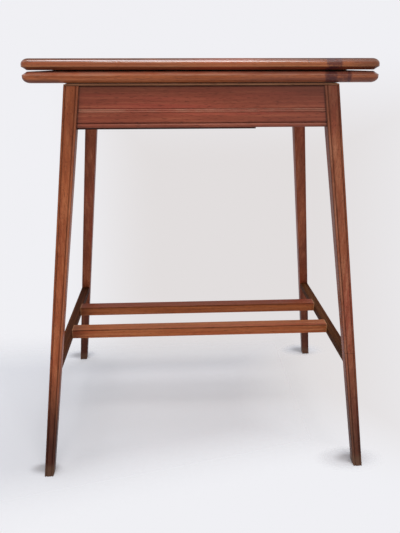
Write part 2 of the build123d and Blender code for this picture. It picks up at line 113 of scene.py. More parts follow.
def make_camera():
    data = bpy.data.cameras.new("camera")
    data.sensor_width = SENSOR
    data.lens = FOCAL_PX * SENSOR / PHOTO_HIGH
    data.clip_end = CAMERA_REACH
    camera = bpy.data.objects.new("camera", data)
    bpy.context.scene.collection.objects.link(camera)
    right = Vector((math.cos(CAMERA_YAW), -math.sin(CAMERA_YAW), 0))
    ahead = Vector((math.sin(CAMERA_YAW), math.cos(CAMERA_YAW), 0))
    look = ahead * math.cos(CAMERA_PITCH) - Vector((0, 0, math.sin(CAMERA_PITCH)))
    up = right.cross(look)
    turn = Matrix.Rotation(CAMERA_ROLL, 3, look)
    axes = Matrix((turn @ right, turn @ up, -(turn @ look))).transposed()
    camera.matrix_world = Matrix.Translation(Vector(CAMERA_AT) * MM) @ axes.to_4x4()
    bpy.context.scene.camera = camera


# Shader graphs


class Graph:
    """A small helper that adds nodes to a node tree and links them."""

    def __init__(self, tree):
        self.tree = tree

    def node(self, kind, values=(), **settings):
        """Adds a node. values holds numbers, or outputs to link, by the name or place of an input."""
        made = self.tree.nodes.new(kind)
        for key, value in settings.items():
            setattr(made, key, value)
        for key, value in dict(values).items():
            if isinstance(value, bpy.types.NodeSocket):
                self.tree.links.new(value, made.inputs[key])
            else:
                made.inputs[key].default_value = value
        return made

    def math(self, operation, a, b=0.0, clamp=False):
        return self.node("ShaderNodeMath", {0: a, 1: b}, operation=operation, use_clamp=clamp).outputs[0]

    def times(self, first, *others):
        """The product of several values."""
        product = first
        for value in others:
            product = self.math("MULTIPLY", product, value)
        return product

    def most(self, first, *others):
        """The largest of several values."""
        largest = first
        for value in others:
            largest = self.math("MAXIMUM", largest, value)
        return largest

    def ramp(self, value, low, high):
        """0 below low, 1 above high, smooth between."""
        made = self.node("ShaderNodeMapRange", {
            "Value": value, "From Min": low, "From Max": high, "To Min": 0.0, "To Max": 1.0,
        }, interpolation_type="SMOOTHSTEP")
        return made.outputs[0]

    def mix(self, factor, a, b):
        """A colour between a, at factor 0, and b, at factor 1."""
        return self.node("ShaderNodeMix", {0: factor, 6: a, 7: b}, data_type="RGBA").outputs[2]

    def tint(self, body, colour_of, *factors):
        """Lays one colour over another, as strongly as the product of the factors."""
        return self.mix(self.times(*factors), body, colour_of)

    def place(self, stretch=(1, 1, 1), shift=(0, 0, 0)):
        """The point in the table's own frame, in metres, stretched and shifted."""
        point = self.node("ShaderNodeTexCoord").outputs["Object"]
        made = self.node("ShaderNodeMapping", {"Vector": point, "Scale": stretch, "Location": shift})
        return made.outputs[0]

    def noise(self, stretch, detail, rough, distortion=0.0, shift=(0, 0, 0)):
        """Soft noise around 0.5, with its point stretched and shifted first."""
        made = self.node("ShaderNodeTexNoise", {
            "Vector": self.place(stretch, shift), "Scale": 1.0, "Detail": detail,
            "Roughness": rough, "Distortion": distortion,
        })
        return made.outputs[0]

    def split(self, source="Object"):
        """The x, y and z of the point."""
        point = self.node("ShaderNodeTexCoord").outputs[source]
        return self.node("ShaderNodeSeparateXYZ", {"Vector": point}).outputs


class Surface(Graph):
    """The graph of a new material, with its shader at hand."""

    def __init__(self, name):
        self.material = bpy.data.materials.new(name)
        self.material.use_nodes = True
        super().__init__(self.material.node_tree)
        self.shader = self.tree.nodes["Principled BSDF"]

    def link(self, value, name):
        self.tree.links.new(value, self.shader.inputs[name])

    def set(self, **values):
        for key, value in values.items():
            self.shader.inputs[key.replace("_", " ")].default_value = value

    def bump(self, *layers):
        """Layers of (height, distance in metres, strength) on the shader's normal."""
        normal = None
        for height, distance, strength in layers:
            values = {"Height": height, "Distance": distance, "Strength": strength}
            if normal is not None:
                values["Normal"] = normal
            normal = self.node("ShaderNodeBump", values).outputs[0]
        self.link(normal, "Normal")


def colour(r, g, b):
    """A colour seen in the photograph's 0 to 255 steps, as linear light."""
    def linear(c):
        c = c / 255
        return c / 12.92 if c <= 0.04045 else ((c + 0.055) / 1.055) ** 2.4
    return (linear(r), linear(g), linear(b), 1.0)


# Wood

PORE = colour(48, 20, 14)
# Dirt, and painted shade in hollows and on faces turned from the light
GRIME_AND_SHADE = colour(30, 14, 10)
# Wear, and the painted highlights laid on with it
WORN_AND_HIGHLIGHT = colour(176, 126, 100)
FOOT = colour(34, 14, 8)
HOLLOW_REACH = 0.003
# A wood with more polish than GLOSSY shines on its worn arrises
GLOSSY = 0.2
GLOSSY_IOR = 2.1
GLOSSY_SHINE = 1.6
# That shine is duller towards both ends, and more so towards the right one: where the loss starts,
# where it is full, and how large it is
GLOSSY_LOSSES = ((0.04, 0.20, 1.2), (-0.235, -0.285, 0.9))


def along(axis, length, across):
    """Stretch values that draw a texture out along one axis."""
    return tuple(length if name == axis else across for name in "xyz")


def mahogany(name, axis, seed, tones, polish=0.36, shine=0.14, coat=0.03, broad=0.75, fine=0.3,
             bared_and_highlight=0.55, marks=()):
    """Old polished mahogany with its grain along one axis.

    tones are dark, middle, light and red. The mesh carries how dirty and how worn each point is,
    and with that where shade and highlights are painted. broad and fine are the strength of the figure
    and of the thin lines. bared is how far the worn tone, with the painted highlights laid on with it,
    goes to the colour of raw wood. marks are functions of the graph that return
    (factor, colour, share) for stains and for painted shade and highlights.
    """
    dark, middle, light, red = tones
    g = Surface(name)
    shift = (seed * 1.37, seed * 0.61, seed * 2.11)
    turned = (shift[1], shift[2], shift[0])
    # Broad figure and hue, then streaks, then fine lines and short dark pores, all along the grain
    figure = g.noise(along(axis, 1.3, 16.0), 4.0, 0.55, 0.5, shift=shift)
    hue = g.noise(along(axis, 2.2, 34.0), 3.0, 0.5, shift=turned)
    streak = g.noise(along(axis, 2.6, 110.0), 5.0, 0.62, 0.25, shift=shift)
    thread = g.noise(along(axis, 6.0, 300.0), 2.0, 0.5, shift=shift)
    line = g.noise(along(axis, 8.0, 640.0), 2.0, 0.6, shift=shift)
    pore = g.noise(along(axis, 85.0, 1500.0), 1.0, 0.5, shift=shift)
    pores = g.ramp(pore, 0.40, 0.33)
    body = g.mix(g.ramp(figure, 0.30, 0.70), dark, middle)
    body = g.tint(body, red, g.ramp(hue, 0.50, 0.68), broad)
    body = g.tint(body, light, g.ramp(streak, 0.47, 0.68), broad * 0.8)
    body = g.tint(body, dark, g.ramp(streak, 0.47, 0.30), broad * 0.73)
    body = g.tint(body, dark, g.ramp(thread, 0.50, 0.36), fine)
    body = g.tint(body, light, g.ramp(thread, 0.52, 0.66), fine)
    body = g.tint(body, dark, g.ramp(line, 0.50, 0.32), 0.34)
    body = g.tint(body, PORE, pores, 0.55)
    # Polish rubbed thin on the arrises and dirt gathered in the quirks; the same marks also carry painted
    # highlights and painted shade
    patch = g.noise(along(axis, 30.0, 90.0), 3.0, 0.6, shift=shift)
    wear_and_highlight = g.node("ShaderNodeAttribute", attribute_name="wear_and_highlight").outputs["Fac"]
    dirt_and_shade = g.node("ShaderNodeAttribute", attribute_name="dirt_and_shade").outputs["Fac"]
    rubbed_and_highlight = g.math("MULTIPLY", wear_and_highlight, g.math("ADD", g.ramp(patch, 0.35, 0.62), 0.35), clamp=True)
    body = g.tint(body, WORN_AND_HIGHLIGHT, rubbed_and_highlight, bared_and_highlight)
    # Painted shade, with some dirt, where another surface is close by (ambient occlusion)
    shade = g.node("ShaderNodeAmbientOcclusion", {"Distance": HOLLOW_REACH}, samples=8)
    hollow_shade = g.times(g.ramp(shade.outputs["AO"], 0.65, 0.15), 0.35)
    grime_and_shade = g.math("MAXIMUM", hollow_shade, g.times(dirt_and_shade, g.math("ADD", patch, 0.42)), clamp=True)
    body = g.tint(body, GRIME_AND_SHADE, grime_and_shade, 0.9)
    for mark in marks:
        factor, tone, share = mark(g)
        body = g.tint(body, tone, factor, share)
    g.link(body, "Base Color")
    haze = g.noise((9.0, 9.0, 9.0), 4.0, 0.6, shift=shift)
    rough = g.math("ADD", g.times(haze, 0.20), polish - 0.10)
    rough = g.math("ADD", rough, g.times(grime_and_shade, 0.35))
    g.link(rough, "Roughness")
    g.bump((line, 0.00012, 0.35), (pores, 0.00010, -0.5), (haze, 0.0008, 0.10))
    g.set(Specular_IOR_Level=shine, Coat_Weight=coat, Coat_Roughness=0.12, Coat_IOR=1.5)
    if coat > GLOSSY:
        across = g.split()["X"]
        bright = GLOSSY_SHINE
        for start, full, loss in GLOSSY_LOSSES:
            bright = g.math("SUBTRACT", bright, g.times(g.ramp(across, start, full), loss))
        g.set(Coat_IOR=GLOSSY_IOR)
        g.link(g.math("ADD", g.times(wear_and_highlight, bright), coat * 0.2, clamp=True), "Coat Weight")
    return g.material


def ragged(g, value, rag, amount):
    """A place moved to and fro by a noise, by half the amount either way."""
    return g.math("ADD", value, g.times(g.math("SUBTRACT", rag, 0.5), amount))


def stain(low, high, colour_of, share, seed=0.0):
    """A stain on the front edge between two places along the top, in metres, with a ragged rim."""
    def mark(g):
        x, y, _ = g.split()
        rag = g.noise((120, 60, 160), 4.0, 0.6, shift=(seed, 0, seed))
        x = ragged(g, x, rag, 0.012)
        inside = g.times(g.ramp(x, low - 0.002, low + 0.003), g.ramp(x, high + 0.003, high - 0.002))
        inside = g.times(inside, g.ramp(y, -0.128, -0.141))
        cover = g.math("ADD", g.ramp(rag, 0.30, 0.60), 0.25)
        return g.math("MULTIPLY", inside, cover, clamp=True), colour_of, share
    return mark


def zone(limits, colour_of, share, rag=0.0):
    """A tint where every limit holds, with a rim that is ragged by rag.

    A limit is an axis, the place on it where the tint starts and the one where it is full, in metres.
    """
    def mark(g):
        point = dict(zip("xyz", g.split()))
        grain = g.noise((40, 40, 14), 4.0, 0.6)
        held = [g.ramp(ragged(g, point[axis], grain, rag), start, full) for axis, start, full in limits]
        return g.times(*held), colour_of, share
    return mark


def between(axis, low, high, soft):
    """The two limits of a band along one axis."""
    return [(axis, low - soft, low + soft), (axis, high + soft, high - soft)]


def leaf_marks():
    """What marks the upper and the lower leaf, laid on in this order."""
    inked = colour(58, 26, 36)
    upper_inner = UPPER_LOW * MM
    lower_inner = LEAF_HIGH * MM
    front_edge = ("y", -0.120, -0.140)
    right_end = [("x", 0.222, 0.288)]
    end_tone = colour(84, 48, 38)
    # Painted reflections: the bevels take a red glow from each other; the inner faces, seen when the top is
    # open, don't
    above = [("z", 0.7472, 0.7458), ("z", upper_inner + 0.0001, upper_inner + 0.0004)]
    off_inner = ("z", lower_inner - 0.0001, lower_inner - 0.0004)
    below = [("z", 0.7342, 0.7352), off_inner]
    nick_at = between("x", 0.1752, 0.1768, 0.0005) + [("z", 0.7515, 0.7530), ("y", -0.137, -0.140)]
    upper = (
        zone(above, colour(96, 8, 8), 0.30),
        zone(above + [("x", -0.20, -0.25)], colour(30, 8, 4), 0.28),
        zone(between("x", -0.02, 0.10, 0.04) + [front_edge], colour(226, 106, 70), 0.12),
        zone(right_end, end_tone, 0.52, 0.01),
        zone(nick_at, GRIME_AND_SHADE, 0.6),
        stain(0.206, 0.232, inked, 0.7),
    )
    lower = (
        zone(below, colour(176, 60, 58), 0.24),
        zone(below + [("x", 0.02, 0.14)], colour(60, 24, 20), 0.26),
        # Painted highlight along the top of the lower bevel, towards the left
        zone([("z", 0.7368, 0.7385), off_inner, ("x", 0.12, 0.0)], colour(200, 140, 120), 0.22),
        zone([("x", 0.02, 0.10), front_edge], colour(108, 68, 64), 0.25),
        # Painted shade under the lower leaf's round at its left end
        zone([("x", -0.228, -0.242), ("z", 0.7290, 0.7255)], colour(52, 22, 14), 0.42),
        zone(right_end, end_tone, 0.36, 0.01),
        stain(0.205, 0.249, inked, 0.5, 3.0),
        stain(0.206, 0.224, inked, 0.6, 5.0),
        stain(0.244, 0.249, inked, 0.5, 7.0),
    )
    return upper, lower


def apron_marks():
    """Painted shade under the top, a duller right half, and painted shade next to both legs."""
    shade_beside_leg = colour(70, 40, 28)
    return (
        zone([("z", 0.680, 0.7165)], colour(66, 34, 22), 0.66),
        zone([("x", -0.02, 0.20)], colour(96, 60, 52), 0.30, 0.02),
        zone([("x", -0.196, -0.216)], shade_beside_leg, 0.40),
        zone([("x", 0.200, 0.216)], shade_beside_leg, 0.30),
    )


def leg_marks():
    """Darkened feet with greyed ends, heads darkened as painted shade, a dent on the left and a crack on
    the right.
    """
    foot = [("z", 0.26, 0.06)]
    grey_end = zone([("z", 0.030, 0.012)], colour(112, 84, 64), 0.55, 0.02)
    left = (
        zone(foot, FOOT, 0.85, 0.06),
        grey_end,
        # Painted shade: the head is darker towards the top
        zone([("z", 0.46, 0.715)], colour(78, 36, 22), 0.42),
        zone(between("z", 0.239, 0.256, 0.002) + [("x", -0.2812, -0.2830)], FOOT, 0.7),
    )
    right = (
        zone(foot, FOOT, 0.64, 0.06),
        grey_end,
        # Painted shade: the head is darker towards the top
        zone([("z", 0.60, 0.70)], colour(78, 42, 32), 0.55),
        zone(between("z", 0.2354, 0.2364, 0.0004), FOOT, 0.6, 0.002),
    )
    back = (zone(foot, FOOT, 0.66, 0.06), grey_end)
    return left, right, back


def rail_joint_marks():
    """The reddened edge of the cross rails, and at their ends, where they meet the stretchers, painted
    highlights, with painted shade near the left end.
    """
    joint_highlight = colour(176, 132, 92)
    return (
        zone([("z", 0.2296, 0.2306), ("y", -0.02, 0.02)], colour(112, 14, 6), 0.46),
        # Painted highlight lines where the rails meet the stretchers
        zone([("x", 0.2664, 0.2676)], joint_highlight, 0.6),
        # Painted shade near the left joint
        zone([("x", -0.232, -0.266)], colour(52, 26, 18), 0.42),
        zone([("x", -0.2660, -0.2676)], joint_highlight, 0.35),
    )


# The dark, middle, light and red tones of each wood
TONES = {
    "leaf_upper": ((117, 62, 32), (161, 98, 54), (181, 121, 75), (159, 82, 52)),
    "leaf_lower": ((134, 65, 32), (182, 101, 57), (205, 123, 77), (179, 83, 54)),
    "apron": ((130, 64, 47), (171, 89, 65), (190, 113, 82), (188, 86, 70)),
    "leg_left": ((141, 71, 42), (181, 99, 58), (201, 124, 82), (177, 81, 54)),
    "leg_right": ((127, 66, 44), (163, 93, 61), (180, 118, 87), (158, 77, 57)),
    "leg_back": ((131, 64, 40), (170, 91, 55), (188, 114, 79), (165, 74, 52)),
    "rail": ((134, 69, 39), (173, 98, 54), (192, 122, 80), (168, 78, 51)),
    "stretcher_left": ((66, 33, 17), (94, 54, 30), (116, 70, 46), (88, 42, 23)),
    "stretcher_right": ((66, 36, 16), (92, 56, 28), (112, 72, 42), (84, 44, 22)),
    "capping": ((142, 91, 64), (170, 120, 86), (193, 140, 105), (154, 102, 73)),
    "inside": ((104, 70, 40), (146, 106, 66), (168, 130, 88), (140, 98, 62)),
    # The well board's tones are darkened as painted shade under the aprons
    "board": ((38, 18, 12), (56, 30, 20), (70, 42, 28), (52, 26, 18)),
}


def build_materials():
    """One material for each kind of surface, by name."""
    tones = {name: [colour(*seen) for seen in row] for name, row in TONES.items()}
    upper, lower = leaf_marks()
    left, right, back = leg_marks()
    aprons = {"broad": 0.38, "fine": 0.24, "marks": apron_marks()}
    joints = rail_joint_marks()
    deep = (zone([("y", 0.02, 0.18)], FOOT, 0.45),)
    # The look's name, its material's name, the grain's axis, a seed, the tones, and the rest
    woods = (
        ("leaf_upper", "mahogany_upper_leaf", "x", 3.1, "leaf_upper",
         {"polish": 0.28, "shine": 0.12, "coat": 0.35, "bared_and_highlight": 0.15, "marks": upper}),
        ("leaf_lower", "mahogany_lower_leaf", "x", 7.7, "leaf_lower",
         {"polish": 0.32, "shine": 0.2, "coat": 0.10, "bared_and_highlight": 0.75, "marks": lower}),
        ("apron_x", "mahogany_apron", "x", 1.3, "apron", aprons),
        ("apron_y", "mahogany_end_rail", "y", 5.9, "apron", aprons),
        ("leg_front_left", "mahogany_leg_left", "z", 2.2, "leg_left", {"marks": left}),
        ("leg_front_right", "mahogany_leg_right", "z", 3.4, "leg_right", {"marks": right}),
        ("leg_back_left", "mahogany_leg_back_left", "z", 6.6, "leg_back", {"marks": back}),
        ("leg_back_right", "mahogany_leg_back_right", "z", 9.1, "leg_back", {"marks": back}),
        ("rail_x", "mahogany_cross_rail", "x", 4.6, "rail",
         {"polish": 0.45, "shine": 0.10, "coat": 0.0, "marks": joints}),
        ("rail_left", "mahogany_stretcher_left", "y", 8.4, "stretcher_left",
         {"polish": 0.62, "shine": 0.03, "coat": 0.0, "marks": deep}),
        ("rail_right", "mahogany_stretcher_right", "y", 2.7, "stretcher_right",
         {"polish": 0.62, "shine": 0.03, "coat": 0.0}),
        ("capping_x", "mahogany_capping", "x", 6.3, "capping", {"polish": 0.5, "shine": 0.12, "coat": 0.0}),
        ("capping_y", "mahogany_capping_side", "y", 9.2, "capping",
         {"polish": 0.5, "shine": 0.12, "coat": 0.0}),
        ("inner_y", "inner_bar", "y", 5.1, "inside", {"polish": 0.62, "shine": 0.25, "coat": 0.0}),
        ("inner_z", "inner_peg", "z", 5.7, "inside", {"polish": 0.62, "shine": 0.25, "coat": 0.0}),
        ("board", "well_board", "x", 3.9, "board", {"polish": 0.6, "shine": 0.2, "coat": 0.0}),
    )
    made = {}
    for look, name, axis, seed, tone, rest in woods:
        made[look] = mahogany(name, axis, seed, tones[tone], **rest)
    made["baize"] = cloth("green_baize", colour(38, 84, 52), colour(58, 108, 70))
    made["felt"] = cloth("glide_felt", colour(164, 116, 88), colour(192, 144, 110))
    made["brass"] = metal("aged_brass", colour(150, 118, 66), colour(196, 160, 96), 0.34)
    made["steel"] = metal("dull_steel", colour(92, 88, 84), colour(142, 138, 132), 0.42)
    made["leather"] = cloth("washer_leather", colour(66, 42, 28), colour(92, 60, 40))
    return made


# Cloth and metal


def cloth(name, low, high):
    """Felted woollen cloth: a soft nap over a fine twill."""
    g = Surface(name)
    nap = g.noise((900, 900, 900), 4.0, 0.7)
    wide = g.noise((14, 14, 14), 3.0, 0.6)
    twill = g.node("ShaderNodeTexWave", {
        "Vector": g.place(), "Scale": 260.0, "Distortion": 1.4, "Detail": 2.0,
    }, wave_type="BANDS", bands_direction="DIAGONAL").outputs[0]
    body = g.mix(g.ramp(nap, 0.3, 0.7), low, high)
    g.link(g.tint(body, high, g.ramp(wide, 0.45, 0.7), 0.35), "Base Color")
    g.bump((nap, 0.0004, 0.6), (twill, 0.0002, 0.3))
    g.set(Roughness=0.95, Sheen_Weight=0.35, Sheen_Roughness=0.5, Specular_IOR_Level=0.2)
    return g.material


def metal(name, low, high, rough):
    """Old metal, dull in patches and brighter where it is rubbed."""
    g = Surface(name)
    patch = g.noise((160, 160, 160), 5.0, 0.65)
    brush = g.noise((3000, 140, 3000), 2.0, 0.5)
    g.link(g.mix(g.ramp(patch, 0.35, 0.65), low, high), "Base Color")
    g.link(g.math("ADD", g.times(patch, 0.3), rough - 0.12), "Roughness")
    g.bump((brush, 0.00005, 0.4), (patch, 0.0001, 0.3))
    g.set(Metallic=1.0)
    return g.material


# Meshes

SHARP_ANGLE = math.radians(35)


def solid(name, rings, body, nodes, material, marks=None):
    """Joins rings of points, given in millimetres, into one closed mesh that stands for CAD nodes.

    marks holds (how dirty, how worn) for each point of each ring, painted shade and highlights included.
    """
    mesh = bpy.data.meshes.new(name)
    bm = bmesh.new()
    dirt_and_shade = bm.verts.layers.float.new("dirt_and_shade")
    wear_and_highlight = bm.verts.layers.float.new("wear_and_highlight")
    made = []
    for k, ring in enumerate(rings):
        row = []
        for i, place in enumerate(ring):
            vert = bm.verts.new(Vector(place) * MM)
            if marks:
                vert[dirt_and_shade], vert[wear_and_highlight] = marks[k][i]
            row.append(vert)
        made.append(row)
    count = len(rings[0])
    for low, high in zip(made, made[1:]):
        for i in range(count):
            j = (i + 1) % count
            bm.faces.new((low[i], low[j], high[j], high[i]))
    bm.faces.new(made[0][::-1])
    bm.faces.new(made[-1])
    bmesh.ops.recalc_face_normals(bm, faces=bm.faces)
    for face in bm.faces:
        face.smooth = True
    bm.to_mesh(mesh)
    bm.free()
    mesh.set_sharp_from_angle(angle=SHARP_ANGLE)
    obj = bpy.data.objects.new(name, mesh)
    bpy.context.scene.collection.objects.link(obj)
    mesh.materials.append(material)
    weighted = obj.modifiers.new("even_shading", "WEIGHTED_NORMAL")
    weighted.keep_sharp = True
    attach(obj, body)
    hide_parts(*nodes)
    return obj


def marked(points, dirt_and_shade=0.0, wear_and_highlight=0.0):
    """Outline points with how dirty and how worn they are there, painted shade and highlights included."""
    return [(a, b, dirt_and_shade, wear_and_highlight) for a, b in points]


def arc(cx, cy, r, start, end, count):
    """Points on an arc, angles in degrees."""
    angles = [math.radians(start + (end - start) * i / count) for i in range(count + 1)]
    return [(cx + r * math.cos(a), cy + r * math.sin(a)) for a in angles]


def steps(low, high, count):
    return [low + (high - low) * i / count for i in range(count + 1)]


make_camera()
materials = build_materials()


# Legs

# The worn lip of a quirk, and how far its dirt reaches along the face
LIP_DEEP = 0.12
LIP_WIDE = 0.5
LIP_DIRT_WIDE = 1.5
# How dirty a quirk is, then its lip, then the face beside it
QUIRK_DIRT = 0.55
LIP_DIRT = 0.4
FACE_DIRT = 0.1
BACK_DIRT = 0.3
BACK_DIRT_WIDE = 2.0
FOOT_ROUND_HIGH = 4.5
FOOT_ROUND_DEEP = 2.0
FOOT_STEPS = 5
LEG_FROM = 16
LEG_STEPS = 46
LEG_WANDER = 0.16


def leg_outline(side):
    """Section of a leg, from its outer corner inward: three beads, two quirks on each face.

    Each point is (across, inward, how dirty, how worn), with painted shade and painted highlights among
    them.
    """
    r = LEG_BEAD / 2
    near = LEG_BEAD + LEG_QUIRK
    deep = LEG_QUIRK_DEEP
    lip = LEG_BEAD * 0.97
    q = LEG_INNER_BEAD / 2
    far = side - LEG_INNER_BEAD - LEG_QUIRK
    rim = side - LEG_INNER_BEAD * 0.97
    back = LEG_INNER_BEAD
    # The outer bead, then one outer face
    points = marked([(deep, lip)], QUIRK_DIRT)
    points += marked(arc(r, r, r, 110, 130, 1), LIP_DIRT)
    # The outer bead is darkened as painted shade
    points += marked(arc(r, r, r, 145, 305, 9), 0.25)
    points += marked(arc(r, r, r, 320, 340, 1), LIP_DIRT)
    points += marked([(lip, deep)], QUIRK_DIRT) + marked([(near, LIP_DEEP)], LIP_DIRT)
    points += marked([(near + LIP_WIDE, 0)], FACE_DIRT)
    points += marked([(near + LIP_DIRT_WIDE, 0), (far - LIP_DIRT_WIDE, 0)])
    points += marked([(far - LIP_WIDE, 0)], FACE_DIRT)
    points += marked([(far, LIP_DEEP)], LIP_DIRT) + marked([(rim, deep)], QUIRK_DIRT)
    points += marked(arc(side - q, q, q, 200, 220, 1), 0.35)
    # The inner bead is worn pale, partly as painted highlight
    points += marked(arc(side - q, q, q, 235, 305, 5), 0.0, 0.45)
    points += marked(arc(side - q, q, q, 325, 360, 2), LIP_DIRT)
    # Both inner faces
    points += marked([(side, back)], BACK_DIRT) + marked([(side, back + BACK_DIRT_WIDE)], FACE_DIRT)
    points += marked(arc(side - ARRIS, side - ARRIS, ARRIS, 0, 90, 3), FACE_DIRT)
    points += marked([(back + BACK_DIRT_WIDE, side)], FACE_DIRT) + marked([(back, side)], BACK_DIRT)
    # The other outer face, back to the outer bead
    points += marked(arc(q, side - q, q, 90, 125, 2), LIP_DIRT)
    points += marked(arc(q, side - q, q, 145, 215, 5), 0.0, 0.15)
    points += marked(arc(q, side - q, q, 230, 250, 1), 0.35)
    points += marked([(deep, rim)], QUIRK_DIRT) + marked([(LIP_DEEP, far)], LIP_DIRT)
    points += marked([(0, far - LIP_WIDE)], FACE_DIRT)
    points += marked([(0, far - LIP_DIRT_WIDE), (0, near + LIP_DIRT_WIDE)])
    points += marked([(0, near + LIP_WIDE)], FACE_DIRT) + marked([(LIP_DEEP, near)], LIP_DIRT)
    return points


def leg_ring(side_x, side_y, z, seed):
    side = leg_side(z)
    drawn = 0.0
    if z < FOOT_ROUND_HIGH:
        share = 1 - z / FOOT_ROUND_HIGH
        drawn = FOOT_ROUND_DEEP * (1 - math.sqrt(max(0.0, 1 - share * share)))
    ring = []
    for u, v, _, _ in leg_outline(side):
        # Hand work and wear: every face wanders a little along the leg
        wander = noise.noise(Vector((u * 0.22, v * 0.22 + seed, z * 0.02 + seed))) * LEG_WANDER
        inward = Vector((side / 2 - u, side / 2 - v))
        shift = inward.normalized() * abs(wander) if inward.length > 0 else Vector((0, 0))
        u = min(u + shift.x, side - drawn)
        v = min(v + shift.y, side - drawn)
        ring.append((side_x * (leg_x(z) - u), side_y * (leg_y(z) - v), z))
    return ring


def make_legs():
    heights = steps(0, FOOT_ROUND_HIGH, FOOT_STEPS) + steps(LEG_FROM, FRAME_HIGH, LEG_STEPS)
    for end_y, side_y in (("front", -1), ("back", 1)):
        for end_x, side_x in (("left", -1), ("right", 1)):
            node = f"leg_{end_y}_{end_x}"
            seed = 3.0 * side_x + 7.0 * side_y
            rings = [leg_ring(side_x, side_y, z, seed) for z in heights]
            marks = [[point[2:] for point in leg_outline(HEAD_SIDE)]] * len(rings)
            solid(f"{node}_wood", rings, "frame", [node], materials[node], marks)


# Aprons and end rails

APRON_QUIRK_DEEP = 1.2
REED_QUIRK_DEEP = 1.1
# How far on the face the marks beside a quirk reach
BESIDE_QUIRK = 1.6
RAIL_WANDER = 0.12
# Where an apron's rings stand, as parts of its half length: close together at the ends, then even
RAIL_ENDS = (0.985, 0.994, 1)
RAIL_EVEN = 0.95
RAIL_STEPS = 28
# Dirt and painted shade on the last two rings, where an apron meets the legs
CORNER_DIRT_AND_SHADE = 0.9


def rail_outline(splay):
    """Section of an apron as (up the face, inward, how dirty, how worn): bead, quirk, two reeds, with
    painted shade and painted highlights among those marks.
    """
    r = APRON_BEAD / 2
    near = APRON_BEAD + APRON_QUIRK
    top = APRON_HIGH / math.cos(splay)
    tilt = math.tan(splay)
    band_low = REED_UP - REED_BAND / 2
    band_high = REED_UP + REED_BAND / 2
    points = marked([(APRON_THICK * tilt, APRON_THICK)])
    # The underside of the bead is darkened as painted shade
    points += marked(arc(r, r, r, 180, 210, 2), 0.6)
    points += marked(arc(r, r, r, 225, 300, 5), 0.0, 0.1)
    points += marked(arc(r, r, r, 315, 340, 2), 0.2)
    points += marked([(APRON_BEAD * 0.985, APRON_QUIRK_DEEP)], 0.36) + marked([(near, 0.15)], 0.2)
    points += marked([(near + LIP_WIDE, 0)], 0.1)
    points += marked([(near + BESIDE_QUIRK, 0), (band_low - BESIDE_QUIRK, 0)])
    points += marked([(band_low - LIP_WIDE, 0)], 0.1) + marked([(band_low, 0.1)], 0.2)
    points += marked([(REED_UP - REED_PITCH + 0.05, REED_QUIRK_DEEP)], 0.35)
    # The reed ridges are worn pale, partly as painted highlight
    points += marked(arc(REED_UP - REED_PITCH / 2, REED_RADIUS, REED_RADIUS, 215, 325, 7), 0.0, 0.6)
    points += marked([(REED_UP, 0.9)], 0.45)
    points += marked(arc(REED_UP + REED_PITCH / 2, REED_RADIUS, REED_RADIUS, 215, 325, 7), 0.0, 0.9)
    points += marked([(REED_UP + REED_PITCH - 0.05, REED_QUIRK_DEEP)], 0.35)
    points += marked([(band_high, 0.1)], 0.2) + marked([(band_high + LIP_WIDE, 0)], 0.1)
    points += marked([(band_high + BESIDE_QUIRK, 0), (top - 3.2, 0)])
    points += marked([(top - 2.2, 0)], 0.3) + marked([(top - 1.8, 0.2)], 0.4)
    points += marked([(top - 1.1, 1.1), (top - 0.4, 1.1), (top, 0.6)], 0.45)
    points += marked([(top + APRON_THICK * tilt, APRON_THICK)])
    return points


def rail_rings(splay, out, reach, turn, seed):
    """Rings along an apron from one pair of legs to the other; turn puts them in place."""
    rings = []
    base = out(APRON_LOW) - APRON_SETBACK / math.cos(splay)
    places = [-t for t in RAIL_ENDS[::-1]] + steps(-RAIL_EVEN, RAIL_EVEN, RAIL_STEPS) + [*RAIL_ENDS]
    for t in places:
        ring = []
        for u, v, _, _ in rail_outline(splay):
            z = min(APRON_LOW + u * math.cos(splay) - v * math.sin(splay), FRAME_HIGH)
            inset = base - u * math.sin(splay) - v * math.cos(splay)
            length = t * (reach(z) - leg_side(z))
            wander = noise.noise(Vector((length * 0.012, u * 0.15, seed))) * RAIL_WANDER
            ring.append(turn(length, inset - abs(wander), max(z, APRON_LOW)))
        rings.append(ring)
    return rings


def rail_marks(splay, count):
    """How dirty and how worn an apron is along its length, dirtier and with painted shade where it meets
    the legs.
    """
    rows = []
    for k in range(count):
        end = CORNER_DIRT_AND_SHADE if k in (0, 1, count - 2, count - 1) else 0.0
        rows.append([(max(dirt_and_shade, end), wear_and_highlight * (1 - end)) for _, _, dirt_and_shade, wear_and_highlight in rail_outline(splay)])
    return rows


def make_rails():
    places = (
        ("apron_front", SPLAY_Y, leg_y, leg_x, lambda a, b, z: (a, -b, z), "apron_x"),
        ("apron_back", SPLAY_Y, leg_y, leg_x, lambda a, b, z: (a, b, z), "apron_x"),
        ("end_rail_left", SPLAY_X, leg_x, leg_y, lambda a, b, z: (-b, a, z), "apron_y"),
        ("end_rail_right", SPLAY_X, leg_x, leg_y, lambda a, b, z: (b, a, z), "apron_y"),
    )
    for seed, (node, splay, out, reach, turn, look) in enumerate(places):
        rings = rail_rings(splay, out, reach, turn, 4.0 * seed)
        marks = rail_marks(splay, len(rings))
        solid(f"{node}_wood", rings, "frame", [node], materials[look], marks)


# Stretchers

BAR_WANDER = 0.2
STRETCHER_SOFT = 1.1
STRETCHER_STEPS = 30
CROSS_RAIL_SOFT = 1.2
CROSS_RAIL_STEPS = 34
# The dark line along the upper edge of the cross rails: how far below the top it starts, the
# width of its lower rim, the play for finding its points, and its dirt
RAIL_LINE = 2.2
RAIL_LINE_RIM = 0.5
RAIL_LINE_PLAY = 0.2
RAIL_LINE_DIRT = 0.7


